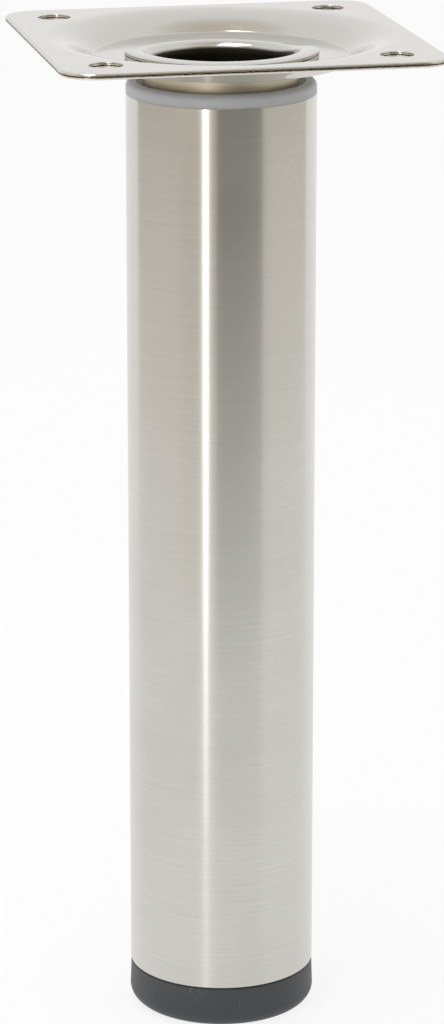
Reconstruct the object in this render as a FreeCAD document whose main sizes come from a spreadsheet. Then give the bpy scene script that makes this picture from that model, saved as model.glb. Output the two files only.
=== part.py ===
# Height adjustable table leg: a brushed steel tube with a pressed steel mounting plate screwed into its top
# and a foot that screws out of its bottom. Millimetres, Z up, origin at the middle of the foot's underside.
import FreeCAD, Part
import os
import re
from collections import namedtuple

import Sketcher

SIZES = {
    # Tube
    "tube_dia": 40.0,
    "tube_wall": 1.2,
    "tube_length": 193.5,
    "tube_edge": 0.25,
    # Foot, and the gap left above it when it is screwed right in
    "foot_inset": 0.05,
    "foot_draft": 0.2,
    "foot_height": 9.2,
    "foot_bottom_radius": 3.2,
    "foot_top_radius": 0.4,
    "foot_recess_dia": 24.0,
    "foot_recess_depth": 1.0,
    "foot_web": 2.0,
    "stop_gap": 0.2,
    # Spindle: a threaded shank with a round head that the foot is moulded over
    "spindle_dia": 10.0,
    "spindle_length": 40.0,
    "spindle_point": 1.2,
    "spindle_head_dia": 20.0,
    "spindle_head_height": 3.0,
    "head_play": 0.05,
    "thread_play": 0.05,
    # Hexagon nut
    "nut_flats": 16.0,
    "nut_height": 8.0,
    "nut_corner_cut": 0.8,
    # Plastic inserts pressed into the tube: their skirts run clear of the bore and grip on ribs
    "skirt_gap": 0.3,
    "rib_count": 8,
    "rib_width": 2.0,
    "rib_press": 0.05,
    "rib_root": 0.5,
    "lead_in": 2.0,
    # Bottom insert
    "plug_length": 24.0,
    "plug_wall": 2.0,
    "plug_floor": 3.0,
    "hub_wall": 2.5,
    "hub_roof": 3.0,
    "nut_recess": 1.0,
    "shank_gap": 0.4,
    "web_count": 6,
    "web_width": 2.0,
    "web_height": 7.0,
    # Top insert
    "collar_height": 2.7,
    "collar_edge": 1.4,
    "collar_land": 0.3,
    "collar_mouth_edge": 0.8,
    "collar_seat_drop": 1.2,
    "socket_wall": 2.15,
    "socket_length": 22.0,
    "neck_play": 0.1,
    # Mounting plate: sheet and outline, dish, and the lip that rolls over into the neck
    "sheet": 1.25,
    "plate_size": 80.0,
    "plate_corner": 7.0,
    "plate_edge": 0.4,
    "plate_rim": 2.5,
    "hole_inset": 10.0,
    "hole_dia": 6.9,
    "dish_depth": 3.9,
    "dish_roll": 16.0,
    "dish_slope": 35.0,
    "crease_radius": 0.8,
    "lip_land": 2.9,
    "lip_radius": 2.5,
    "lip_rise": 1.4,
    "lip_split_angle": 178.0,
    "lip_rise_angle": 194.0,
    "dish_gap": 3.95,
    "neck_depth": 19.0,
}

# Heights and radii that several pieces share, as formulas of the sizes
TUBE_RADIUS = "(tube_dia / 2)"
TUBE_BORE = "(tube_dia / 2 - tube_wall)"
SKIRT_RADIUS = f"({TUBE_BORE} - skirt_gap)"
TUBE_BOTTOM = "(foot_height + stop_gap)"
TUBE_TOP = f"({TUBE_BOTTOM} + tube_length)"
COLLAR_TOP = f"({TUBE_TOP} + collar_height)"
DISH_FLOOR = f"({COLLAR_TOP} + dish_gap + sheet)"
PLATE_TOP = f"({DISH_FLOOR} + dish_depth)"
SOCKET = f"({SKIRT_RADIUS} - socket_wall)"
NECK_RADIUS = f"({SOCKET} - neck_play)"
HEAD_BOTTOM = "(foot_recess_depth + foot_web)"
HEAD_TOP = f"({HEAD_BOTTOM} + spindle_head_height + 2 * head_play)"
SHANK_BORE = "(spindle_dia / 2 + thread_play)"
NUT_BOTTOM = f"({TUBE_BOTTOM} + nut_recess)"
NUT_TOP = f"({NUT_BOTTOM} + nut_height)"
NUT_CORNER = "(nut_flats / sqrt(3))"

PLATE_CORNERS = "4"
SAME_PLACE = 1e-4

Arc = namedtuple("Arc", "radius leftwards")

doc = FreeCAD.newDocument("table_leg")
sheet = doc.addObject("Spreadsheet::Sheet", "Sizes")
for row, (size_name, number) in enumerate(SIZES.items(), start=1):
    sheet.set(f"A{row}", size_name)
    sheet.set(f"B{row}", str(number))
    sheet.setAlias(f"B{row}", size_name)
doc.recompute()


def formula(text):
    """The text with every size in it written as a cell of the sheet."""
    return re.sub(r"[a-z_]+", lambda word: f"Sizes.{word[0]}" if word[0] in SIZES else word[0], text)


def value(text):
    return float(sheet.evalExpression(formula(text)))


def new_body(label):
    body = doc.addObject("PartDesign::Body", label)
    body.Label = label
    return body


def new_sketch(body, name, role, lift=None, turn=None):
    """A sketch on one of the body's own planes, lifted along its normal or turned about the leg's axis."""
    sketch = body.newObject("Sketcher::SketchObject", f"{body.Name}_{name}")
    support = next(feature for feature in body.Origin.OriginFeatures if feature.Role == role)
    sketch.AttachmentSupport = [(support, "")]
    sketch.MapMode = "FlatFace"
    if lift:
        sketch.setExpression(".AttachmentOffset.Base.z", formula(lift))
    if turn:
        about_leg = FreeCAD.Rotation(FreeCAD.Vector(0, 1, 0), value(turn))
        sketch.AttachmentOffset = FreeCAD.Placement(FreeCAD.Vector(), about_leg)
        sketch.setExpression(".AttachmentOffset.Rotation.Angle", formula(turn))
    return sketch


def tie(sketch, kind, places, size):
    """A dimension of the sketch that follows the sheet."""
    index = sketch.addConstraint(Sketcher.Constraint(kind, *places, value(size)))
    sketch.setExpression(f".Constraints[{index}]", formula(size))


def arc_between(start, end, radius, leftwards):
    """The shorter arc from start to end, its centre to the left or right of that line."""
    chord = end - start
    across = FreeCAD.Vector(-chord.y, chord.x, 0).normalize()
    height = max(radius**2 - chord.Length**2 / 4, 0) ** 0.5
    middle = (start + end) * 0.5 + across * (height if leftwards else -height)
    bulge = middle + (((start + end) * 0.5 - middle).normalize() if height > 0 else -across) * radius
    return Part.ArcOfCircle(start, bulge, end) if leftwards else Part.ArcOfCircle(end, bulge, start)


def outline(sketch, path):
    """A closed loop of lines, and of arcs where the path has one, with each corner tied to the sheet."""
    corners = [item for item in path if not isinstance(item, Arc)]
    bends = {}
    passed = -1
    for item in path:
        if isinstance(item, Arc):
            bends[passed] = item
        else:
            passed += 1
    spots = [FreeCAD.Vector(value(x), value(y), 0) for x, y in corners]
    first = sketch.GeometryCount
    count = len(spots)
    for number, spot in enumerate(spots):
        following = spots[(number + 1) % count]
        if number in bends:
            bend = bends[number]
            sketch.addGeometry(arc_between(spot, following, value(bend.radius), bend.leftwards))
        else:
            sketch.addGeometry(Part.LineSegment(spot, following))

    def start_of(number):
        return 2 if number in bends and not bends[number].leftwards else 1

    for number, (x, y) in enumerate(corners):
        before = (number - 1) % count
        here = (first + number, start_of(number))
        sketch.addConstraint(Sketcher.Constraint("Coincident", first + before, 3 - start_of(before), *here))
        tie(sketch, "DistanceX", (-1, 1, *here), x)
        tie(sketch, "DistanceY", (-1, 1, *here), y)
    for number, bend in bends.items():
        tie(sketch, "Radius", (first + number,), bend.radius)


def circle(sketch, x, y, radius):
    centre = FreeCAD.Vector(value(x), value(y), 0)
    index = sketch.addGeometry(Part.Circle(centre, FreeCAD.Vector(0, 0, 1), value(radius)))
    tie(sketch, "DistanceX", (-1, 1, index, 3), x)
    tie(sketch, "DistanceY", (-1, 1, index, 3), y)
    tie(sketch, "Radius", (index,), radius)


def turned(body, name, path, kind="Revolution", angle="360", turn=None):
    """Turns a half section, given as radius and height, about the leg's axis."""
    sketch = new_sketch(body, name, "XZ_Plane", turn=turn)
    outline(sketch, path)
    feature = body.newObject(f"PartDesign::{kind}", f"{sketch.Name}_turned")
    feature.Profile = sketch
    feature.ReferenceAxis = (sketch, ["V_Axis"])
    feature.setExpression("Angle", formula(angle))
    doc.recompute()
    return feature


def raised(body, sketch, length):
    feature = body.newObject("PartDesign::Pad", f"{sketch.Name}_pad")
    feature.Profile = sketch
    feature.setExpression("Length", formula(length))
    return feature


def cut(body, sketch, length=None, upwards=False):
    """Cuts the sketch's area out of the body, to a depth or right through, and sees that it did cut."""
    before = body.Shape.Volume
    feature = body.newObject("PartDesign::Pocket", f"{sketch.Name}_cut")
    feature.Profile = sketch
    feature.Reversed = upwards
    if length:
        feature.setExpression("Length", formula(length))
    else:
        feature.Type = "ThroughAll"
    doc.recompute()
    if body.Shape.Volume >= before:
        raise RuntimeError(f"{feature.Name} cuts nothing")
    return feature


def ring_of(body, feature, sketch, count):
    pattern = body.newObject("PartDesign::PolarPattern", f"{feature.Name}_ring")
    pattern.Originals = [feature]
    pattern.Axis = (sketch, ["N_Axis"])
    pattern.Angle = 360
    pattern.setExpression("Occurrences", formula(count))
    body.Tip = pattern
    doc.recompute()


def rounded(body, name, radius, chosen):
    """Rounds those edges of the body for which chosen(edge) holds."""
    base = body.Tip
    edges = [f"Edge{number}" for number, edge in enumerate(base.Shape.Edges, start=1) if chosen(edge)]
    if not edges:
        raise RuntimeError(f"{body.Label}: no edge to round for {name}")
    feature = body.newObject("PartDesign::Fillet", f"{body.Name}_{name}")
    feature.Base = (base, edges)
    feature.setExpression("Radius", formula(radius))
    doc.recompute()


def near(number, text):
    return abs(number - value(text)) < SAME_PLACE


def is_ring(edge, radius, height):
    """Whether the edge is a circle about the leg's axis with this radius and height."""
    curve = edge.Curve
    if not isinstance(curve, Part.Circle):
        return False
    return near(curve.Radius, radius) and near(curve.Center.z, height) and abs(curve.Center.x) < SAME_PLACE


def grip_ribs(body, bottom, length):
    """Ribs along an insert's skirt that are squeezed a little in the tube's bore."""
    sketch = new_sketch(body, "rib", "XY_Plane", lift=bottom)
    inside = f"({SKIRT_RADIUS} - rib_root)"
    outside = f"({TUBE_BORE} + rib_press)"
    half = "(rib_width / 2)"
    outline(sketch, [(inside, f"-{half}"), (outside, f"-{half}"), (outside, half), (inside, half)])
    rib = raised(body, sketch, length)
    doc.recompute()
    ring_of(body, rib, sketch, "rib_count")


def hexagon(sketch):
    half_corner = f"({NUT_CORNER} / 2)"
    half_flats = "(nut_flats / 2)"
    outline(
        sketch,
        [
            (NUT_CORNER, "0"),
            (half_corner, half_flats),
            (f"-{half_corner}", half_flats),
            (f"-{NUT_CORNER}", "0"),
            (f"-{half_corner}", f"-{half_flats}"),
            (half_corner, f"-{half_flats}"),
        ],
    )


def make_leg_tube():
    """Drawn tube with its outer edges broken at both ends."""
    body = new_body("leg_tube")
    turned(
        body,
        "section",
        [
            (TUBE_BORE, TUBE_BOTTOM),
            (f"{TUBE_RADIUS} - tube_edge", TUBE_BOTTOM),
            (TUBE_RADIUS, f"{TUBE_BOTTOM} + tube_edge"),
            (TUBE_RADIUS, f"{TUBE_TOP} - tube_edge"),
            (f"{TUBE_RADIUS} - tube_edge", TUBE_TOP),
            (TUBE_BORE, TUBE_TOP),
        ],
    )
    return body


def make_foot():
    """Moulded foot, a little wider below, hollow round the spindle's head and recessed underneath."""
    body = new_body("foot")
    top_rim = f"({TUBE_RADIUS} - foot_inset)"
    rim = f"({top_rim} + foot_draft)"
    recess = "(foot_recess_dia / 2)"
    head_room = "(spindle_head_dia / 2 + head_play)"
    turned(
        body,
        "section",
        [
            ("0", "foot_recess_depth"),
            (recess, "foot_recess_depth"),
            (recess, "0"),
            (f"{rim} - foot_bottom_radius", "0"),
            Arc("foot_bottom_radius", True),
            (rim, "foot_bottom_radius"),
            (top_rim, "foot_height - foot_top_radius"),
            Arc("foot_top_radius", True),
            (f"{top_rim} - foot_top_radius", "foot_height"),
            (SHANK_BORE, "foot_height"),
            (SHANK_BORE, HEAD_TOP),
            (head_room, HEAD_TOP),
            (head_room, HEAD_BOTTOM),
            ("0", HEAD_BOTTOM),
        ],
    )
    return body


def make_foot_spindle():
    """Threaded spindle, drawn at the thread's outer diameter, with a flat round head and a pointed end."""
    body = new_body("foot_spindle")
    shank = "(spindle_dia / 2)"
    end = "(foot_height + spindle_length)"
    turned(
        body,
        "section",
        [
            ("0", f"{HEAD_BOTTOM} + head_play"),
            ("spindle_head_dia / 2", f"{HEAD_BOTTOM} + head_play"),
            ("spindle_head_dia / 2", f"{HEAD_TOP} - head_play"),
            (shank, f"{HEAD_TOP} - head_play"),
            (shank, f"{end} - spindle_point"),
            (f"{shank} - spindle_point", end),
            ("0", end),
        ],
    )
    return body


def make_spindle_nut():
    """Hexagon nut with its corners cut to a cone at both ends."""
    body = new_body("spindle_nut")
    sketch = new_sketch(body, "flats", "XY_Plane", lift=NUT_BOTTOM)
    hexagon(sketch)
    circle(sketch, "0", "0", SHANK_BORE)
    raised(body, sketch, "nut_height")
    doc.recompute()
    whole = body.Shape.Volume
    flat = "(nut_flats / 2)"
    corner = f"({NUT_CORNER} + nut_corner_cut)"
    for name, face, inward in (("lower", NUT_BOTTOM, "+"), ("upper", NUT_TOP, "-")):
        corner_path = [(flat, face), (corner, face), (corner, f"{face} {inward} nut_corner_cut")]
        turned(body, name, corner_path, kind="Groove")
    if body.Shape.Volume >= whole:
        raise RuntimeError("the nut's corners are not cut")
    return body


def make_bottom_insert():
    """Plug with a hub that takes the nut from below, webs from hub to skirt, and grip ribs outside."""
    body = new_body("bottom_insert")
    skirt_inside = f"({SKIRT_RADIUS} - plug_wall)"
    hub = f"({NUT_CORNER} + hub_wall)"
    hub_top = f"({NUT_TOP} + hub_roof)"
    plug_top = f"({TUBE_BOTTOM} + plug_length)"
    floor_top = f"({TUBE_BOTTOM} + plug_floor)"
    shank_hole = "(spindle_dia / 2 + shank_gap)"
    turned(
        body,
        "section",
        [
            (shank_hole, TUBE_BOTTOM),
            (SKIRT_RADIUS, TUBE_BOTTOM),
            (SKIRT_RADIUS, plug_top),
            (skirt_inside, plug_top),
            (skirt_inside, floor_top),
            (hub, floor_top),
            (hub, hub_top),
            (shank_hole, hub_top),
        ],
    )
    pocket = new_sketch(body, "nut_pocket", "XY_Plane", lift=TUBE_BOTTOM)
    hexagon(pocket)
    cut(body, pocket, "nut_recess + nut_height", upwards=True)
    web = new_sketch(body, "web", "XY_Plane", lift=floor_top)
    half = "(web_width / 2)"
    web_start = f"({hub} - hub_wall / 2)"
    web_end = f"({skirt_inside} + plug_wall / 2)"
    outline(web, [(web_start, f"-{half}"), (web_end, f"-{half}"), (web_end, half), (web_start, half)])
    web_pad = raised(body, web, "web_height")
    doc.recompute()
    ring_of(body, web_pad, web, "web_count")
    grip_ribs(body, TUBE_BOTTOM, "plug_length - lead_in")
    return body


def make_top_insert():
    """Collar on the tube's end, with a seat and a socket inside for the plate's neck."""
    body = new_body("top_insert")
    top_edge = f"({TUBE_RADIUS} - collar_edge)"
    mouth = f"({top_edge} - collar_land - collar_mouth_edge)"
    mouth_floor = f"({COLLAR_TOP} - collar_mouth_edge)"
    socket_bottom = f"({TUBE_TOP} - socket_length)"
    turned(
        body,
        "section",
        [
            (SOCKET, socket_bottom),
            (SKIRT_RADIUS, socket_bottom),
            (SKIRT_RADIUS, TUBE_TOP),
            (TUBE_RADIUS, TUBE_TOP),
            (TUBE_RADIUS, f"{COLLAR_TOP} - collar_edge"),
            Arc("collar_edge", True),
            (top_edge, COLLAR_TOP),
            (f"{mouth} + collar_mouth_edge", COLLAR_TOP),
            Arc("collar_mouth_edge", True),
            (mouth, mouth_floor),
            (SOCKET, f"{mouth_floor} - collar_seat_drop"),
        ],
    )
    grip_ribs(body, f"{socket_bottom} + lead_in", "socket_length - lead_in")
    return body


def make_mounting_plate():
    """One pressed sheet: flat rim, dish, rolled lip with its front sheared and set higher, and drawn neck."""
    body = new_body("mounting_plate")
    bore = f"({NECK_RADIUS} - sheet)"
    bend = f"({bore} + lip_radius)"
    ring = f"({bend} + lip_land)"
    inner_bend = "(lip_radius - sheet)"
    neck_bottom = f"({DISH_FLOOR} - neck_depth)"
    side = "(plate_size / 2)"
    mouth = f"({side} - plate_rim)"
    roll_centre = f"({PLATE_TOP} - dish_roll)"
    under_roll = "(dish_roll - sheet)"
    roll_end = f"({mouth} - dish_roll * sin(dish_slope))"
    floor = f"({roll_end} - (dish_depth - dish_roll * (1 - cos(dish_slope))) / tan(dish_slope))"
    under_floor = f"({floor} + sheet * tan(dish_slope / 2))"
    blank = "plate_size"
    turned(
        body,
        "section",
        [
            (bore, neck_bottom),
            (NECK_RADIUS, neck_bottom),
            (NECK_RADIUS, f"{DISH_FLOOR} - lip_radius"),
            Arc(inner_bend, False),
            (bend, f"{DISH_FLOOR} - sheet"),
            (under_floor, f"{DISH_FLOOR} - sheet"),
            (f"{mouth} - {under_roll} * sin(dish_slope)", f"{roll_centre} + {under_roll} * cos(dish_slope)"),
            Arc(under_roll, False),
            (mouth, f"{PLATE_TOP} - sheet"),
            (blank, f"{PLATE_TOP} - sheet"),
            (blank, PLATE_TOP),
            (mouth, PLATE_TOP),
            Arc("dish_roll", True),
            (roll_end, f"{roll_centre} + dish_roll * cos(dish_slope)"),
            (floor, DISH_FLOOR),
            (bend, DISH_FLOOR),
            Arc("lip_radius", True),
            (bore, f"{DISH_FLOOR} - lip_radius"),
        ],
    )
    under_height = f"{DISH_FLOOR} - sheet"
    rounded(body, "crease", "crease_radius", lambda edge: is_ring(edge, floor, DISH_FLOOR))
    under_radius = "crease_radius + sheet"
    rounded(body, "under_crease", under_radius, lambda edge: is_ring(edge, under_floor, under_height))

    trim = new_sketch(body, "trim", "XY_Plane", lift=f"{PLATE_TOP} + sheet")
    short = f"({side} - plate_corner)"
    corner = Arc("plate_corner", True)
    outline(
        trim,
        [
            (short, f"-{side}"),
            corner,
            (side, f"-{short}"),
            (side, short),
            corner,
            (short, side),
            (f"-{short}", side),
            corner,
            (f"-{side}", short),
            (f"-{side}", f"-{short}"),
            corner,
            (f"-{short}", f"-{side}"),
        ],
    )
    circle(trim, "0", "0", f"{blank} + sheet")
    cut(body, trim)

    def on_rim(edge):
        """A straight or corner edge of the plate's outline, on its upper or lower face."""
        box = edge.BoundBox
        on_face = near(box.ZMin, PLATE_TOP) or near(box.ZMin, f"{PLATE_TOP} - sheet")
        if box.ZLength > SAME_PLACE or not on_face:
            return False
        if isinstance(edge.Curve, Part.Circle):
            return near(edge.Curve.Radius, "plate_corner") and abs(edge.Curve.Center.x) > SAME_PLACE
        return True

    rounded(body, "rim", "plate_edge", on_rim)

    hole = new_sketch(body, "screw_hole", "XY_Plane", lift=f"{PLATE_TOP} + sheet")
    circle(hole, f"{side} - hole_inset", f"{side} - hole_inset", "hole_dia / 2")
    ring_of(body, cut(body, hole), hole, PLATE_CORNERS)

    low_bend = f"({DISH_FLOOR} - lip_radius)"
    high_floor = f"({DISH_FLOOR} + lip_rise)"
    high_bend = f"({high_floor} - lip_radius)"
    above = f"({DISH_FLOOR} + sheet)"
    inside = f"({bore} - sheet)"
    clear_path = [(inside, low_bend), (ring, low_bend), (ring, above), (inside, above)]
    turned(body, "lip_clear", clear_path, "Groove", "lip_rise_angle", "lip_split_angle")
    turned(
        body,
        "high_lip",
        [
            (bore, low_bend),
            (NECK_RADIUS, low_bend),
            (NECK_RADIUS, high_bend),
            Arc(inner_bend, False),
            (bend, f"{high_floor} - sheet"),
            (ring, f"{high_floor} - sheet"),
            (ring, high_floor),
            (bend, high_floor),
            Arc("lip_radius", True),
            (bore, high_bend),
        ],
        angle="lip_rise_angle",
        turn="lip_split_angle",
    )
    return body


nodes = [
    make_leg_tube(),
    make_foot(),
    make_foot_spindle(),
    make_spindle_nut(),
    make_bottom_insert(),
    make_top_insert(),
    make_mounting_plate(),
]
doc.recompute()

for made in doc.Objects:
    if "Invalid" in made.State or "Error" in made.State:
        raise RuntimeError(f"{made.Label} did not compute")
for node in nodes:
    if node.Shape.isNull() or not node.Shape.isValid():
        raise RuntimeError(f"{node.Label} is not a valid solid")
    if len(node.Shape.Solids) != 1:
        raise RuntimeError(f"{node.Label} is not one solid")

os.makedirs("parts", exist_ok=True)
for node in nodes:
    node.Shape.exportStep(f"parts/{node.Label}.step")
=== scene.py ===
import bmesh
import bpy
import numpy as np
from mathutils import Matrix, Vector


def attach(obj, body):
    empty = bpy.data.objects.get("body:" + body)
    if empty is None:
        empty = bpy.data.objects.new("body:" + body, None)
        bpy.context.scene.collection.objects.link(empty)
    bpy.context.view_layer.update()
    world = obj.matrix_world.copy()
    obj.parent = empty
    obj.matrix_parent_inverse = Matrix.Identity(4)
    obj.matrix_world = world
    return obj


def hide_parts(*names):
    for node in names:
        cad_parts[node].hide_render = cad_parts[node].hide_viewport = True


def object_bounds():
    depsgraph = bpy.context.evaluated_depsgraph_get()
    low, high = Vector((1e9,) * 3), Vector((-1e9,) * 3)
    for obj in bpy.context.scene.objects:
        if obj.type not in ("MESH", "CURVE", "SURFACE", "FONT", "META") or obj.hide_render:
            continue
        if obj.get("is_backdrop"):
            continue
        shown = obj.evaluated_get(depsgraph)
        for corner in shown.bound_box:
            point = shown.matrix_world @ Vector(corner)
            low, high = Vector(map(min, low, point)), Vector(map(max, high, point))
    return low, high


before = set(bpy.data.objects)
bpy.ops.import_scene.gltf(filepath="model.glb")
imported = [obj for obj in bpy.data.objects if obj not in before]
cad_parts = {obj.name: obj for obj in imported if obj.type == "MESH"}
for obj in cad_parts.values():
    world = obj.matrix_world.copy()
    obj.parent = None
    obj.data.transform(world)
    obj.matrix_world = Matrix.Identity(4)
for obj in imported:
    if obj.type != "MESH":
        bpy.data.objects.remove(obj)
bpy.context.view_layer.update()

# Leg tube. A stainless steel tube sawn to length, its edges broken, and belt ground while it turned, so
# the grind runs round its girth. Both plastic inserts are pressed into its ends.
MM = 0.001
MERGE_REACH = 1e-7
SHARP_DEGREES = 35.0
TUBE_RADIUS = 20.0
TUBE_BORE = 18.8
TUBE_BOTTOM = 9.4
TUBE_TOP = 202.9
TUBE_EDGE = 0.25
TUBE_EDGE_ROWS = 5
TUBE_COLUMNS = 360


def quarter(steps):
    """Angles from 0 to a right angle."""
    return np.linspace(0, np.pi / 2, steps)


def full_turn(steps):
    """Angles evenly round a full turn, without its end."""
    return np.linspace(0, 2 * np.pi, steps, endpoint=False)


def carried_round(radius, height, angle):
    """Points round the leg's axis: (r cos a, r sin a, h) for each row's r and h and column's angle a."""
    radius, height, angle = np.broadcast_arrays(radius, height, angle)
    return np.stack([radius * np.cos(angle), radius * np.sin(angle), height], axis=-1)


def grid_faces(rows, columns, loop_rows=False, loop_columns=True):
    """Corner numbers of each grid cell, taken row by row: here, next column, diagonal, next row."""
    row, column = np.meshgrid(
        np.arange(rows if loop_rows else rows - 1),
        np.arange(columns if loop_columns else columns - 1),
        indexing="ij",
    )
    row_after = (row + 1) % rows
    column_after = (column + 1) % columns
    corners = (
        row * columns + column,
        row * columns + column_after,
        row_after * columns + column_after,
        row_after * columns + column,
    )
    return np.stack(corners, axis=-1).reshape(-1, 4)


def make_piece(name, grids):
    """One mesh from grids of (points, faces, values by name) in millimetres, poles and seams merged."""
    points = np.concatenate([grid[0].reshape(-1, 3) for grid in grids]) * MM
    starts = np.cumsum([0] + [grid[0].reshape(-1, 3).shape[0] for grid in grids[:-1]])
    faces = np.concatenate([grid[1] + start for grid, start in zip(grids, starts)])
    mesh = bpy.data.meshes.new(name)
    mesh.from_pydata(points, [], faces)
    for label in grids[0][2]:
        values = np.concatenate([np.asarray(grid[2][label], dtype=np.float32).ravel() for grid in grids])
        mesh.attributes.new(label, "FLOAT", "POINT").data.foreach_set("value", values)
    shell = bmesh.new()
    shell.from_mesh(mesh)
    bmesh.ops.remove_doubles(shell, verts=shell.verts, dist=MERGE_REACH)
    bmesh.ops.recalc_face_normals(shell, faces=shell.faces)
    shell.to_mesh(mesh)
    shell.free()
    mesh.polygons.foreach_set("use_smooth", np.ones(len(mesh.polygons), dtype=bool))
    mesh.set_sharp_from_angle(angle=np.radians(SHARP_DEGREES))
    piece = bpy.data.objects.new(name, mesh)
    bpy.context.scene.collection.objects.link(piece)
    return piece


def linear(colour):
    """An sRGB hex colour as linear red, green, blue and full alpha."""
    code = np.array([int(colour[place : place + 2], 16) for place in (1, 3, 5)]) / 255
    return (*np.where(code <= 0.04045, code / 12.92, ((code + 0.055) / 1.055) ** 2.4).tolist(), 1.0)


def add(tree, kind, settings, inputs):
    """Adds a node, gives it its settings, and sets or links each of its inputs."""
    made = tree.nodes.new(kind)
    for label, setting in settings.items():
        setattr(made, label, setting)
    for label, source in inputs.items():
        if isinstance(source, bpy.types.NodeSocket):
            tree.links.new(source, made.inputs[label])
        else:
            made.inputs[label].default_value = source
    return made


def noise(tree, where, size, detail):
    """A cloudy pattern between 0 and 1, its clouds about a size in millimetres wide."""
    scale = 1 / (size * MM)
    made = add(tree, "ShaderNodeTexNoise", {}, {"Vector": where, "Scale": scale, "Detail": detail})
    return made.outputs["Fac"]


def ranged(tree, value, start, end, at_start, at_end):
    """A value carried in a straight line from one range to another, and held beyond the ends."""
    made = add(tree, "ShaderNodeMapRange", {}, {0: value, 1: start, 2: end, 3: at_start, 4: at_end})
    return made.outputs[0]


def blended(tree, share, first, second):
    """A colour that goes from the first to the second as the share goes from 0 to 1."""
    made = add(tree, "ShaderNodeMix", {"data_type": "RGBA"}, {0: share, 6: first, 7: second})
    return made.outputs[2]


def new_material(name):
    """An empty node material with its output, ready for a shader."""
    material = bpy.data.materials.new(name)
    material.use_nodes = True
    material.node_tree.nodes.clear()
    return material, material.node_tree, material.node_tree.nodes.new("ShaderNodeOutputMaterial")


arc = quarter(TUBE_EDGE_ROWS)
tube_radius = np.concatenate(
    [
        [TUBE_BORE],
        TUBE_RADIUS - TUBE_EDGE * (1 - np.sin(arc)),
        TUBE_RADIUS - TUBE_EDGE * (1 - np.cos(arc)),
        [TUBE_BORE],
    ]
)
tube_height = np.concatenate(
    [
        [TUBE_BOTTOM],
        TUBE_BOTTOM + TUBE_EDGE * (1 - np.cos(arc)),
        TUBE_TOP - TUBE_EDGE * (1 - np.sin(arc)),
        [TUBE_TOP],
    ]
)
tube_points = carried_round(tube_radius[:, None], tube_height[:, None], full_turn(TUBE_COLUMNS))
tube_faces = grid_faces(len(tube_radius), TUBE_COLUMNS, loop_rows=True)
tube = make_piece("brushed_tube", [(tube_points, tube_faces, {})])

# The grain's direction is kept as a map: its first axis runs up the tube, across the grind marks.
corner = np.zeros(len(tube.data.loops), dtype=np.int32)
tube.data.loops.foreach_get("vertex_index", corner)
place = np.zeros(len(tube.data.vertices) * 3)
tube.data.vertices.foreach_get("co", place)
place = place.reshape(-1, 3)[corner]
girth = np.arctan2(place[:, 1], place[:, 0]) / (2 * np.pi) + 0.5
grain_map = np.stack([place[:, 2] / (TUBE_TOP * MM), girth], axis=-1)
tube.data.uv_layers.new(name="grain").data.foreach_set("uv", grain_map.ravel())

# Brushed stainless steel: warm grey, a mirror along the grind marks and a long blur across them, so lamps
# draw out into streaks up the tube. Grind marks are about 0.1 mm; they are drawn at 0.4 mm to show.
MARK_HEIGHT = 0.4
MARK_LENGTH = 25.0
CLOUD_SIZE = 30.0
NOISE_SPAN = (0.3, 0.7)
BRUSHED_ROUGHNESS = (0.25, 0.31)
brushed_stainless, tree, output = new_material("brushed_stainless_steel")
where = add(tree, "ShaderNodeTexCoord", {}, {}).outputs["Object"]
stretch = (1 / (MARK_LENGTH * MM), 1 / (MARK_LENGTH * MM), 1 / (MARK_HEIGHT * MM))
along = add(tree, "ShaderNodeMapping", {}, {"Vector": where, "Scale": stretch}).outputs["Vector"]
marks = add(
    tree,
    "ShaderNodeTexNoise",
    {},
    {"Vector": along, "Scale": 1.0, "Detail": 3.0, "Roughness": 0.65},
).outputs["Fac"]
grain = add(tree, "ShaderNodeTangent", {"direction_type": "UV_MAP", "uv_map": "grain"}, {})
steel = add(
    tree,
    "ShaderNodeBsdfPrincipled",
    {},
    {
        "Base Color": blended(tree, marks, linear("#cbc9c3"), linear("#dad8d3")),
        "Metallic": 1.0,
        "Roughness": ranged(tree, noise(tree, where, CLOUD_SIZE, 2.0), *NOISE_SPAN, *BRUSHED_ROUGHNESS),
        "Anisotropic": 0.95,
        "Tangent": grain.outputs[0],
    },
)
tree.links.new(steel.outputs[0], output.inputs["Surface"])
tube.data.materials.append(brushed_stainless)
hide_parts("leg_tube")
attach(tube, "leg")

# Plastic inserts. Two injection moulded polypropylene plugs, pressed into the tube's ends and held there by
# ribs. The top one has a collar that covers the tube's end and a socket for the plate's neck.
FLOW_SIZE = 9.0
GRIT_SIZE = 0.35
GRIT_DEPTH = 0.05
GLOW_DEPTH = 2.5
grey_plastic, tree, output = new_material("moulded_grey_polypropylene")
where = add(tree, "ShaderNodeTexCoord", {}, {}).outputs["Object"]
flow = noise(tree, where, FLOW_SIZE, 2.0)
grit = noise(tree, where, GRIT_SIZE, 1.0)
skin = add(tree, "ShaderNodeBump", {}, {"Height": grit, "Strength": 0.08, "Distance": GRIT_DEPTH * MM})
# Polypropylene lets a little light in, so its edges glow slightly and its shadows are soft.
plastic = add(
    tree,
    "ShaderNodeBsdfPrincipled",
    {},
    {
        "Base Color": blended(tree, flow, linear("#b8b9bb"), linear("#c4c5c7")),
        "Roughness": 0.42,
        "IOR": 1.49,
        "Subsurface Weight": 0.8,
        "Subsurface Radius": (1.0, 1.0, 1.0),
        "Subsurface Scale": GLOW_DEPTH * MM,
        "Normal": skin.outputs[0],
    },
)
tree.links.new(plastic.outputs[0], output.inputs["Surface"])
for name in ("bottom_insert", "top_insert"):
    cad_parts[name].material_slots[0].material = grey_plastic

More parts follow.
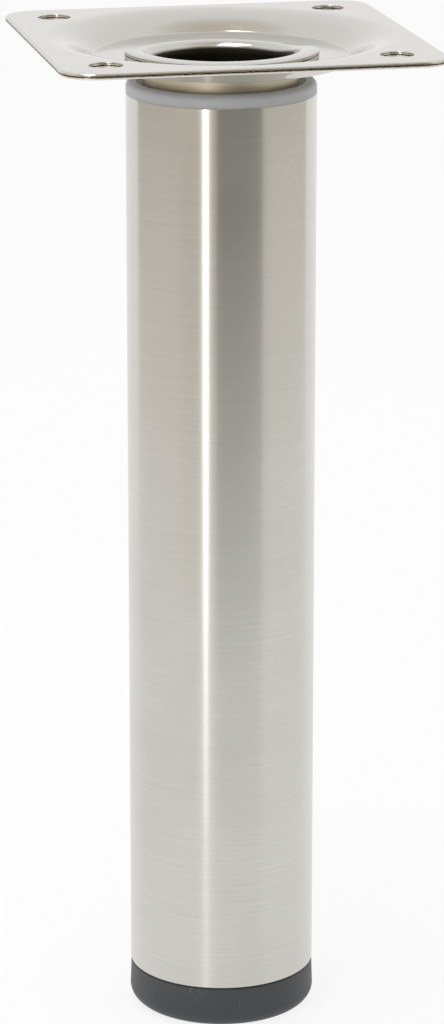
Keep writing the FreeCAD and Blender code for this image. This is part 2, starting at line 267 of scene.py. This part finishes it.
# Spindle nut. A hexagon steel nut, zinc plated, that sits in a pocket of the bottom insert and carries the
# load. The zinc is a cool bright silver with a faint uneven dullness.
PLATING_SIZE = 2.5
ZINC_ROUGHNESS = (0.24, 0.38)
zinc_steel, tree, output = new_material("zinc_plated_steel")
where = add(tree, "ShaderNodeTexCoord", {}, {}).outputs["Object"]
spangle = noise(tree, where, PLATING_SIZE, 4.0)
zinc = add(
    tree,
    "ShaderNodeBsdfPrincipled",
    {},
    {
        "Base Color": blended(tree, spangle, linear("#c3c8cd"), linear("#d9dbdc")),
        "Metallic": 1.0,
        "Roughness": ranged(tree, spangle, *NOISE_SPAN, *ZINC_ROUGHNESS),
    },
)
tree.links.new(zinc.outputs[0], output.inputs["Surface"])
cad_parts["spindle_nut"].material_slots[0].material = zinc_steel

# Foot spindle. A zinc plated steel screw with a rolled 10 mm thread and a flat round head, which the foot
# is moulded over. It turns in the nut, and so the foot goes up and down.
SPINDLE_RADIUS = 5.0
SPINDLE_BOTTOM = 3.05
SPINDLE_HEAD_TOP = 6.05
SPINDLE_HEAD_RADIUS = 10.0
SPINDLE_TOP = 49.2
SPINDLE_POINT = 1.2
THREAD_PITCH = 1.5
THREAD_DEPTH = 0.92
THREAD_RUN_OUT = 1.5
THREAD_COLUMNS = 72
ROWS_PER_PITCH = 10
ROOT_SHARE = 0.3
FLANK_SLOPE = 4.0


def thread_depth(height, angle, pitch):
    """Share of full depth, crest 0 to root 1: a flat-topped wave of the height less the helix's rise."""
    turn = (height / pitch - angle / (2 * np.pi)) % 1.0
    return np.clip(1 + FLANK_SLOPE * (ROOT_SHARE / 2 - np.abs(turn - 0.5)), 0, 1)


shank_height = np.arange(SPINDLE_HEAD_TOP, SPINDLE_TOP - SPINDLE_POINT, THREAD_PITCH / ROWS_PER_PITCH)
spindle_radius = np.concatenate(
    [
        [0, SPINDLE_HEAD_RADIUS, SPINDLE_HEAD_RADIUS],
        np.full(len(shank_height), SPINDLE_RADIUS),
        [SPINDLE_RADIUS, SPINDLE_RADIUS - SPINDLE_POINT, 0],
    ]
)[:, None]
spindle_height = np.concatenate(
    [
        [SPINDLE_BOTTOM, SPINDLE_BOTTOM, SPINDLE_HEAD_TOP],
        shank_height,
        [SPINDLE_TOP - SPINDLE_POINT, SPINDLE_TOP, SPINDLE_TOP],
    ]
)[:, None]
angle = full_turn(THREAD_COLUMNS)
from_end = np.minimum(spindle_height - SPINDLE_HEAD_TOP, SPINDLE_TOP - spindle_height)
fade = np.clip(from_end / THREAD_RUN_OUT, 0, 1)
cut_depth = THREAD_DEPTH * fade * thread_depth(spindle_height, angle, THREAD_PITCH)
radius = spindle_radius - np.where(spindle_radius > 0, cut_depth, 0)
spindle_points = carried_round(radius, spindle_height, angle)
spindle = make_piece("threaded_spindle", [(spindle_points, grid_faces(*radius.shape), {})])
spindle.data.materials.append(zinc_steel)
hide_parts("foot_spindle")
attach(spindle, "spindle")

# Foot. A charcoal plastic disc moulded round the spindle's head; its rim lines up with the tube. It is
# turned by hand to set the height, so it has a few pale scuffs.
GRAIN_SIZE = 0.5
GRAIN_DEPTH = 0.05
SCUFF_WIDTH = 0.35
SCUFF_LENGTH = 6.0
SCUFF_LEAN = (0.25, 0.0, 0.4)
SCUFF_START = (0.71, 0.82)
SCUFF_STRENGTH = 0.4
WORN_SIZE = 12.0
RUBBED_PLACE = (-8.8, -17.9, 8.0)
RUBBED_REACH = 3.0
RUBBED_GAIN = 0.16
charcoal_plastic, tree, output = new_material("moulded_charcoal_polypropylene")
where = add(tree, "ShaderNodeTexCoord", {}, {}).outputs["Object"]
tint = blended(tree, noise(tree, where, WORN_SIZE, 3.0), linear("#3a3c3e"), linear("#444648"))
stretch = (1 / (SCUFF_WIDTH * MM), 1 / (SCUFF_WIDTH * MM), 1 / (SCUFF_LENGTH * MM))
leaning = add(tree, "ShaderNodeMapping", {}, {"Vector": where, "Rotation": SCUFF_LEAN, "Scale": stretch})
scratch = add(tree, "ShaderNodeTexNoise", {}, {"Vector": leaning.outputs[0], "Scale": 1.0, "Detail": 1.0})
rubbed = add(
    tree,
    "ShaderNodeVectorMath",
    {"operation": "DISTANCE"},
    {0: where, 1: [length * MM for length in RUBBED_PLACE]},
).outputs["Value"]
close = ranged(tree, rubbed, 0.0, RUBBED_REACH * MM, RUBBED_GAIN, 0.0)
likely = add(tree, "ShaderNodeMath", {"operation": "ADD"}, {0: scratch.outputs["Fac"], 1: close}).outputs[0]
pale = ranged(tree, likely, *SCUFF_START, 0.0, SCUFF_STRENGTH)
pebble = noise(tree, where, GRAIN_SIZE, 2.0)
skin = add(tree, "ShaderNodeBump", {}, {"Height": pebble, "Strength": 0.15, "Distance": GRAIN_DEPTH * MM})
# A fine moulded grain takes the shine down to a soft sheen.
rubbery = add(
    tree,
    "ShaderNodeBsdfPrincipled",
    {},
    {
        "Base Color": blended(tree, pale, tint, linear("#8c8e90")),
        "Roughness": 0.5,
        "IOR": 1.49,
        "Normal": skin.outputs[0],
    },
)
tree.links.new(rubbery.outputs[0], output.inputs["Surface"])
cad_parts["foot"].material_slots[0].material = charcoal_plastic

# Mounting plate. One piece of 1.25 mm sheet steel, blanked, punched and pressed into a dish with a drawn
# neck, then nickel plated and screwed into the top insert. The lip's front part is sheared from the dish
# and set higher, as the start of the neck's thread.
SHEET = 1.25
PLATE_TOP = 214.7
PLATE_HALF = 40.0
PLATE_CORNER = 7.0
EDGE_ROLL = 0.55
EDGE_BREAK = 0.3
DISH_DEPTH = 3.9
DISH_FLOOR = PLATE_TOP - DISH_DEPTH
DISH_MOUTH = 37.5
MOUTH_ROLL = 16.0
MOUTH_ROWS = 14
SLOPE_TURN = np.radians(35.0)
CREASE = 0.8
CREASE_TURN = np.radians(46.0)
CREASE_RUN = 0.4
CREASE_ROWS = 7
FLOOR_STEP = 0.3
LIP_RADIUS = 2.5
LIP_RING = 20.4
LIP_RISE = 1.4
LIP_CROWN = 0.3
CROWN_WIDTH = 1.6
CROWN_ROWS = 5
BEND_ROWS = 12
SLIT = 0.04
SPLIT_ANGLE = 178.0
SPLIT_GAP = 0.15
RAMP_START = 350.0
RAMP_END = 395.0
NECK_BORE = 15.0
NECK_BOTTOM = 191.8
NECK_PITCH = 2.0
NECK_THREAD = 0.3
NECK_PLAIN = 2.5
NECK_ROWS = 38
DRAWN_START = 0.9
DRAWN_FADE = 0.5
RIM_STEPS = np.array([0.02, 0.04, 0.15, 0.26, 0.37, 0.48, 0.60, 0.75, 0.90, 0.985, 1.0])

# Every column stands at a whole degree. One more, just before the split, ends the part of the lip that
# stays low.
split = int(SPLIT_ANGLE)
split_columns = np.insert(np.arange(360.0), split, SPLIT_ANGLE - SPLIT_GAP)
angle = np.radians(split_columns)
all_round = np.ones(len(angle))
past_split = np.where(split_columns < SPLIT_ANGLE, split_columns + 360, split_columns)
ramp = np.clip((RAMP_END - past_split) / (RAMP_END - RAMP_START), 0, 1)
rise = LIP_RISE * ramp**2 * (3 - 2 * ramp)

mouth_centre = PLATE_TOP - MOUTH_ROLL
slope_drop = DISH_DEPTH - MOUTH_ROLL * (1 - np.cos(SLOPE_TURN))
dish_foot = DISH_MOUTH - MOUTH_ROLL * np.sin(SLOPE_TURN) - slope_drop / np.tan(SLOPE_TURN)
crease_centre = dish_foot - CREASE * np.tan(SLOPE_TURN / 2)
neck_height = np.linspace(NECK_BOTTOM, DISH_FLOOR - LIP_RADIUS, NECK_ROWS)
bend_turn = quarter(BEND_ROWS)
crown_share = np.linspace(0, 1, CROWN_ROWS)[:, None]


def outline_reach(half):
    """Distance from the axis to a round-cornered square of this half width, along every column's angle."""
    along = np.abs(np.cos(angle))
    across = np.abs(np.sin(angle))
    centre = PLATE_HALF - PLATE_CORNER
    corner = half - centre
    middle = centre * (along + across)
    round_reach = middle + np.sqrt(np.maximum(middle**2 - 2 * centre**2 + corner**2, 0))
    straight_reach = half / np.maximum(along, across)
    on_side = straight_reach * np.minimum(along, across) <= centre
    return np.where(on_side, straight_reach, round_reach)


def sheet_rows(under):
    """Radius and height of one face of the sheet, row by row from the neck's end to the rim.

    The face lies a distance under below the upper one: neck with its thread, quarter bend and land of the
    lip, raised by each column's rise and bowed down to its edge, then dish floor, crease, straight slope,
    round mouth, and rim out to the outline.
    """
    plain = neck_height[-1] - NECK_PLAIN
    fade = np.clip(np.minimum(neck_height - NECK_BOTTOM, plain - neck_height) / NECK_PITCH, 0, 1)
    groove = NECK_THREAD * fade[:, None] * thread_depth(neck_height[:, None], angle, NECK_PITCH)
    bend_radius = LIP_RADIUS - under
    bowed = 1 - (LIP_CROWN / LIP_RISE) * crown_share**2
    crease_radius = CREASE + under
    crease_top = DISH_FLOOR + CREASE
    crease = np.linspace(0, SLOPE_TURN if under else CREASE_TURN, CREASE_ROWS)
    slope_radius = crease_centre + crease_radius * np.sin(SLOPE_TURN) + CREASE_RUN * np.cos(SLOPE_TURN)
    slope_height = crease_top - crease_radius * np.cos(SLOPE_TURN) + CREASE_RUN * np.sin(SLOPE_TURN)
    mouth = np.linspace(SLOPE_TURN, 0, MOUTH_ROWS)
    reach = outline_reach(PLATE_HALF - EDGE_ROLL)
    floor_radius = [LIP_RING, LIP_RING + FLOOR_STEP, crease_centre - FLOOR_STEP]
    radius = np.concatenate(
        [
            NECK_BORE + under - groove,
            np.outer(NECK_BORE + LIP_RADIUS - bend_radius * np.cos(bend_turn), all_round),
            LIP_RING - CROWN_WIDTH * (1 - crown_share) - SLIT * rise / LIP_RISE,
            np.outer(floor_radius, all_round),
            np.outer(crease_centre + crease_radius * np.sin(crease), all_round),
            np.outer([slope_radius], all_round),
            np.outer(DISH_MOUTH - (MOUTH_ROLL - under) * np.sin(mouth), all_round),
            DISH_MOUTH + RIM_STEPS[:, None] * (reach - DISH_MOUTH),
        ]
    )
    height = np.concatenate(
        [
            np.outer(neck_height, all_round),
            neck_height[-1] + rise + bend_radius * np.sin(bend_turn)[:, None],
            DISH_FLOOR - under + bowed * rise,
            np.outer(np.full(len(floor_radius), DISH_FLOOR - under), all_round),
            np.outer(crease_top - crease_radius * np.cos(crease), all_round),
            np.outer([slope_height], all_round),
            np.outer(mouth_centre + (MOUTH_ROLL - under) * np.cos(mouth), all_round),
            np.outer(np.full(len(RIM_STEPS), PLATE_TOP - under), all_round),
        ]
    )
    return radius, height


# The cut edge joins the two faces: rolled over at its top, straight, and broken at its bottom.
ROLL_ROWS = 7
WALL_ROWS = 5
BREAK_ROWS = 5
upper_radius, upper_height = sheet_rows(0.0)
lower_radius, lower_height = sheet_rows(SHEET)
roll = quarter(ROLL_ROWS)[1:]
burr = quarter(BREAK_ROWS)[1:]
wall = np.linspace(EDGE_ROLL, SHEET - EDGE_BREAK, WALL_ROWS)[1:]
edge_half = np.concatenate(
    [
        PLATE_HALF - EDGE_ROLL * (1 - np.sin(roll)),
        np.full(len(wall), PLATE_HALF),
        PLATE_HALF - EDGE_BREAK * (1 - np.cos(burr)),
    ]
)
edge_depth = np.concatenate([EDGE_ROLL * (1 - np.cos(roll)), wall, SHEET - EDGE_BREAK * (1 - np.sin(burr))])
edge_radius = np.stack([outline_reach(half) for half in edge_half])
edge_height = np.outer(PLATE_TOP - edge_depth, all_round)
edge_cut = np.outer(edge_depth / SHEET, all_round)
radius = np.concatenate([upper_radius, edge_radius, lower_radius[::-1]])
height = np.concatenate([upper_height, edge_height, lower_height[::-1]])
cut = np.concatenate([np.zeros(upper_radius.shape), edge_cut, np.ones(lower_radius.shape)])
on_neck = radius < NECK_BORE + LIP_RADIUS
drawn = np.clip((DISH_FLOOR - DRAWN_START + rise - height) / DRAWN_FADE, 0, 1) * on_neck
plate_points = carried_round(radius, height, angle)
rows, columns = radius.shape
last_row = rows - 1
plate_faces = grid_faces(rows, columns, loop_rows=True)

# The slit between the raised lip and the dish, and the split across the lip, are open: their cells are left
# out on both faces, and strips from the upper to the lower face close the sheet along each cut.
neck_row = NECK_ROWS - 1
lip_row = neck_row + BEND_ROWS + CROWN_ROWS
dish_row = lip_row + 1
left_out = np.zeros((rows, columns), dtype=bool)
left_out[lip_row, :] = True
left_out[last_row - dish_row, :] = True
left_out[neck_row:lip_row, split] = True
left_out[last_row - lip_row : last_row - neck_row, split] = True


def cut_strip(row, column, next_row, next_column):
    """Faces from a line of grid points on the upper face down to the same points on the lower face."""
    here = row * columns + column
    after = next_row * columns + next_column
    below_here = (last_row - row) * columns + column
    below_after = (last_row - next_row) * columns + next_column
    return np.stack([here, after, below_after, below_here], axis=-1).reshape(-1, 4)


column = np.arange(columns)
column_after = (column + 1) % columns
parted = column[(rise > 0) | (rise[column_after] > 0)]
lip_parted = parted[parted != split]
across = np.arange(neck_row, lip_row)
cut_faces = np.concatenate(
    [
        cut_strip(lip_row, lip_parted, lip_row, column_after[lip_parted]),
        cut_strip(dish_row, parted, dish_row, column_after[parted]),
        cut_strip(across, split, across + 1, split),
        cut_strip(across, split + 1, across + 1, split + 1),
        cut_strip(np.array([neck_row]), split, np.array([neck_row]), split + 1),
    ]
)

# Each screw hole takes the place of a block of cells on both faces. A ring of cells runs from the block's
# border on the upper face to the hole's rounded edge, through the hole, and out to the border underneath.
HOLE_PLACE = 30.0
HOLE_RADIUS = 3.45
HOLE_EDGE = 0.15
HOLE_LAND = 0.35
HOLE_EDGE_ROWS = 4
HOLE_WALL_ROWS = 6
BLOCK_COLUMNS = 8
BLOCK_RIM = (1, 6)
first_rim = len(upper_radius) - len(RIM_STEPS)
first_row, end_row = first_rim + BLOCK_RIM[0], first_rim + BLOCK_RIM[1]
hole_arc = quarter(HOLE_EDGE_ROWS)
hole_wall = np.linspace(HOLE_EDGE, SHEET - HOLE_EDGE, HOLE_WALL_ROWS)[1:-1]
hole_reach = np.concatenate(
    [
        [HOLE_LAND],
        HOLE_EDGE * (1 - np.sin(hole_arc)),
        np.zeros(len(hole_wall)),
        HOLE_EDGE * (1 - np.cos(hole_arc)),
        [HOLE_LAND],
    ]
)
ring_depth = np.concatenate(
    [
        np.zeros(3),
        HOLE_EDGE * (1 - np.cos(hole_arc)),
        hole_wall,
        SHEET - HOLE_EDGE * (1 - np.sin(hole_arc)),
        np.full(3, SHEET),
    ]
)
hole_grids = []
for corner_angle in (45, 135, 225, 315):
    middle = int(np.searchsorted(split_columns, corner_angle))
    near_column, far_column = middle - BLOCK_COLUMNS, middle + BLOCK_COLUMNS
    left_out[first_row:end_row, near_column:far_column] = True
    left_out[last_row - end_row : last_row - first_row, near_column:far_column] = True
    along = np.arange(near_column, far_column)
    across = np.arange(first_row, end_row)
    border_rows = np.concatenate(
        [np.full(len(along), first_row), across, np.full(len(along), end_row), across[::-1] + 1]
    )
    border_columns = np.concatenate(
        [along, np.full(len(across), far_column), along[::-1] + 1, np.full(len(across), near_column)]
    )
    border = plate_points[border_rows, border_columns]
    toward = np.radians(corner_angle)
    centre = np.sqrt(2) * HOLE_PLACE * np.array([np.cos(toward), np.sin(toward)])
    outward = border[:, :2] - centre
    far = np.linalg.norm(outward, axis=1)
    outward = outward / far[:, None]
    halfway = (far + HOLE_RADIUS) / 2
    hole_rows = np.outer(HOLE_RADIUS + hole_reach, np.ones(len(far)))
    reach = np.concatenate([[far, halfway], hole_rows, [halfway, far]])
    ring = np.stack(
        [
            centre[0] + reach * outward[:, 0],
            centre[1] + reach * outward[:, 1],
            np.outer(PLATE_TOP - ring_depth, np.ones(len(far))),
        ],
        axis=-1,
    )
    ring_cut = np.outer(ring_depth / SHEET, np.ones(len(far)))
    hole_grids.append((ring, grid_faces(*reach.shape), {"cut": ring_cut, "drawn": np.zeros(reach.shape)}))
plate_faces = np.concatenate([plate_faces[~left_out.ravel()], cut_faces])
sheet_grid = (plate_points, plate_faces, {"cut": cut, "drawn": drawn})
plate = make_piece("pressed_plate", [sheet_grid, *hole_grids])

# Nickel plated steel: a bright, slightly warm mirror with the faint waviness of pressed sheet. Where the
# blanking tool broke the sheet, halfway down each cut edge, there is a ragged dark line. The drawn neck is
# dull; its inside is painted near black as painted shade for its deep bore, and its outside is painted
# lighter to lift the shade in the gap above the collar. The zones of the cut edge begin and end at shares
# of the sheet.
WAVE_SIZE = 14.0
WAVE_DEPTH = 0.12
TEAR_SIZE = 0.8
TEAR_DEPTH = 0.3
NICKEL_COLOUR = linear("#c8c6c0")
NICKEL_ROUGHNESS = (0.07, 0.13)
NECK_ROUGHNESS = 0.5
BURNISHED_START = (0.26, 0.40)
TORN_START = (0.58, 0.61)
TORN_END = (0.76, 0.80)
BROKEN_START = (0.76, 0.84)
UNDERNEATH_START = (0.94, 1.0)
nickel, tree, output = new_material("bright_nickel_plated_steel")
where = add(tree, "ShaderNodeTexCoord", {}, {}).outputs["Object"]
waves = noise(tree, where, WAVE_SIZE, 1.0)
sheen = ranged(tree, waves, *NOISE_SPAN, *NICKEL_ROUGHNESS)
wavy = add(tree, "ShaderNodeBump", {}, {"Height": waves, "Strength": 0.25, "Distance": WAVE_DEPTH * MM})
share = add(tree, "ShaderNodeAttribute", {"attribute_name": "cut"}, {}).outputs["Fac"]
ragged = add(
    tree,
    "ShaderNodeMath",
    {"operation": "MULTIPLY_ADD"},
    {0: noise(tree, where, TEAR_SIZE, 3.0), 1: TEAR_DEPTH, 2: share},
).outputs[0]
burnished = ranged(tree, ragged, *BURNISHED_START, 0.0, 1.0)
above = ranged(tree, ragged, *TORN_START, 0.0, 1.0)
below = ranged(tree, ragged, *TORN_END, 1.0, 0.0)
torn = add(tree, "ShaderNodeMath", {"operation": "MULTIPLY"}, {0: above, 1: below}).outputs[0]
broken = ranged(tree, ragged, *BROKEN_START, 0.0, 1.0)
underneath = ranged(tree, share, *UNDERNEATH_START, 0.0, 1.0)
dull_neck_and_painted_shade = add(tree, "ShaderNodeAttribute", {"attribute_name": "drawn"}, {}).outputs["Fac"]
# Painted shade: the neck's inside is painted near black for the shade down its bore, and its outside is
# painted lighter against the shade in the gap above the collar.
neck_painted_shading = blended(tree, share, linear("#35322b"), linear("#e2dac6"))
tint = NICKEL_COLOUR
rough = sheen
for zone, colour, roughness in (
    (burnished, linear("#d8d2c4"), 0.28),
    (torn, linear("#1d1813"), 0.6),
    (broken, linear("#e8e0da"), 0.45),
    (underneath, NICKEL_COLOUR, sheen),
    (dull_neck_and_painted_shade, neck_painted_shading, NECK_ROUGHNESS),
):
    tint = blended(tree, zone, tint, colour)
    rough = add(tree, "ShaderNodeMix", {}, {0: zone, 2: rough, 3: roughness}).outputs[0]
bright = add(
    tree,
    "ShaderNodeBsdfPrincipled",
    {},
    {"Base Color": tint, "Metallic": 1.0, "Roughness": rough, "Normal": wavy.outputs[0]},
)
tree.links.new(bright.outputs[0], output.inputs["Surface"])
plate.data.materials.append(nickel)
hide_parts("mounting_plate")
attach(plate, "leg")

# Floor. A sheet of white paper under the leg, which ends a little in front of it and runs far back. The
# foot stands on it, so it goes down with the spindle when the foot is screwed out.
CAMERA_PLACE = Vector((-0.1771, -0.8249, 0.3573))
CAMERA_AIM = Vector((0.2017, 0.9387, -0.2798))
PAPER_FRONT = 0.55
PAPER_BACK = 4.0
PAPER_SIDE = 2.5
PAPER_HEIGHT = -0.0002
PAPER_GLOW = 0.85


def seen_share(tree):
    """1 for light that the camera sees straight, off a shiny face or through a clear one, else 0."""
    path = add(tree, "ShaderNodeLightPath", {}, {}).outputs
    seen = path["Is Camera Ray"]
    for way in ("Is Glossy Ray", "Is Transmission Ray"):
        seen = add(tree, "ShaderNodeMath", {"operation": "MAXIMUM"}, {0: seen, 1: path[way]}).outputs[0]
    return seen


to_camera = np.array([CAMERA_PLACE.x, CAMERA_PLACE.y]) / np.hypot(CAMERA_PLACE.x, CAMERA_PLACE.y)
to_right = np.array([-to_camera[1], to_camera[0]])
ahead, aside = np.meshgrid([PAPER_FRONT, -PAPER_BACK], [-PAPER_SIDE, PAPER_SIDE], indexing="ij")
paper_place = ahead[..., None] * to_camera + aside[..., None] * to_right
paper_points = np.concatenate([paper_place, np.full((2, 2, 1), PAPER_HEIGHT)], axis=-1) / MM
paper = make_piece("floor_paper", [(paper_points, grid_faces(2, 2, loop_columns=False), {})])
paper_white, tree, output = new_material("white_backdrop_paper")
matt = add(tree, "ShaderNodeBsdfDiffuse", {}, {"Color": linear("#f2f2f2")})
lit = add(tree, "ShaderNodeEmission", {}, {"Color": linear("#ffffff"), "Strength": 1.0})
glow = ranged(tree, seen_share(tree), 0.0, 1.0, 0.0, PAPER_GLOW)
both = add(tree, "ShaderNodeMixShader", {}, {0: glow, 1: matt.outputs[0], 2: lit.outputs[0]})
tree.links.new(both.outputs[0], output.inputs["Surface"])
paper.data.materials.append(paper_white)
paper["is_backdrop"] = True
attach(paper, "spindle")

# Screens. Cloth panels that stand round the camera's side of the table and give the metal something to
# reflect: a dark one behind the camera, a grey canopy over it and warm grey ones on either side. The camera
# doesn't see them.
SCREEN_REACH = 1.25
SCREEN_MIDDLE = 0.2
SCREEN_COLUMNS = 24
SCREEN_ROWS = 16
camera_turn = np.arctan2(to_camera[1], to_camera[0])
for name, left, right, low, high, cloth, shades in (
    ("left_screen", -118.0, -58.0, -30.0, 20.0, "#c6bdad", False),
    ("near_screen", -58.0, -6.0, -30.0, 20.0, "#dcd4c6", False),
    ("dark_screen", -6.0, 50.0, -30.0, 20.0, "#716d64", True),
    ("right_screen", 50.0, 122.0, -30.0, 20.0, "#d8d2c5", False),
    ("grey_canopy", -62.0, 62.0, 20.0, 58.0, "#9a9488", False),
):
    # Part of a ball round the leg: each point lies at the reach, at its turn from the camera and its rise.
    turn, climb = np.meshgrid(
        camera_turn + np.radians(np.linspace(left, right, SCREEN_COLUMNS)),
        np.radians(np.linspace(low, high, SCREEN_ROWS)),
        indexing="ij",
    )
    screen_height = SCREEN_REACH * np.sin(climb) + SCREEN_MIDDLE
    screen_points = carried_round(SCREEN_REACH * np.cos(climb), screen_height, turn)
    screen = make_piece(name, [(screen_points / MM, grid_faces(*turn.shape, loop_columns=False), {})])
    material, tree, output = new_material(f"{name}_cloth")
    matt = add(tree, "ShaderNodeBsdfDiffuse", {}, {"Color": linear(cloth)})
    tree.links.new(matt.outputs[0], output.inputs["Surface"])
    screen.data.materials.append(material)
    screen.visible_camera = False
    screen.visible_shadow = False
    screen.visible_diffuse = shades
    screen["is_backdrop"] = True

# Light. A white room whose ceiling is warmer right overhead, a soft box that hangs under it, and a slim
# upright lamp to the left of the camera, which draws the bright line up the tube.
CEILING_START = (0.84, 0.985)
ROOM_LEVEL = 0.85
SOFT_BOX_HEIGHT = 1.25
SOFT_BOX_LEFT = 0.19
SOFT_BOX_AHEAD = 0.15
SOFT_BOX_WIDTH = 0.4
SOFT_BOX_LENGTH = 0.6
SOFT_BOX_WATTS = 3.8
SLIM_LAMP_TURN = -18.4
SLIM_LAMP_REACH = 0.55
SLIM_LAMP_WIDTH = 0.04
SLIM_LAMP_LENGTH = 0.36
SLIM_LAMP_WATTS = 0.27
scene = bpy.context.scene
scene.view_settings.view_transform = "Standard"
world = bpy.data.worlds.new("white_room")
scene.world = world
world.use_nodes = True
tree = world.node_tree
tree.nodes.clear()
output = tree.nodes.new("ShaderNodeOutputWorld")
direction = add(tree, "ShaderNodeTexCoord", {}, {}).outputs["Generated"]
upward = add(tree, "ShaderNodeSeparateXYZ", {}, {0: direction}).outputs["Z"]
ceiling = ranged(tree, upward, *CEILING_START, 0.0, 1.0)
walls = blended(tree, ceiling, linear("#ffffff"), linear("#ddd6c8"))
level = ranged(tree, seen_share(tree), 0.0, 1.0, ROOM_LEVEL, 1.0)
room = add(tree, "ShaderNodeBackground", {}, {"Color": walls, "Strength": level})
tree.links.new(room.outputs[0], output.inputs["Surface"])


def hang_lamp(name, place, aim, width, length, watts):
    """A rectangular soft lamp at a place, turned to shine at a point."""
    data = bpy.data.lights.new(name, "AREA")
    data.shape = "RECTANGLE"
    data.size = width
    data.size_y = length
    data.energy = watts
    lamp = bpy.data.objects.new(name, data)
    lamp.location = place
    lamp.rotation_euler = (Vector(aim) - Vector(place)).to_track_quat("-Z", "Y").to_euler()
    lamp.visible_camera = False
    scene.collection.objects.link(lamp)


overhead = SOFT_BOX_AHEAD * to_camera - SOFT_BOX_LEFT * to_right
hang_lamp(
    "soft_box",
    (*overhead, SOFT_BOX_HEIGHT),
    (*overhead, 0.0),
    SOFT_BOX_WIDTH,
    SOFT_BOX_LENGTH,
    SOFT_BOX_WATTS,
)
lamp_turn = camera_turn + np.radians(SLIM_LAMP_TURN)
beside = SLIM_LAMP_REACH * np.array([np.cos(lamp_turn), np.sin(lamp_turn)])
hang_lamp(
    "slim_lamp",
    (*beside, SLIM_LAMP_LENGTH / 2),
    (0.0, 0.0, SLIM_LAMP_LENGTH / 2),
    SLIM_LAMP_WIDTH,
    SLIM_LAMP_LENGTH,
    SLIM_LAMP_WATTS,
)

# Camera. It stands slightly above and to the left of the leg and looks down on it through a long lens, as
# in a catalogue picture.
CAMERA_LENS = 143.7
CAMERA_NEAR = 0.01
camera_data = bpy.data.cameras.new("camera")
camera_data.lens = CAMERA_LENS
camera_data.clip_start = CAMERA_NEAR
camera = bpy.data.objects.new("camera", camera_data)
camera.location = CAMERA_PLACE
camera.rotation_euler = CAMERA_AIM.to_track_quat("-Z", "Y").to_euler()
scene.collection.objects.link(camera)
scene.camera = camera

low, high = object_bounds()
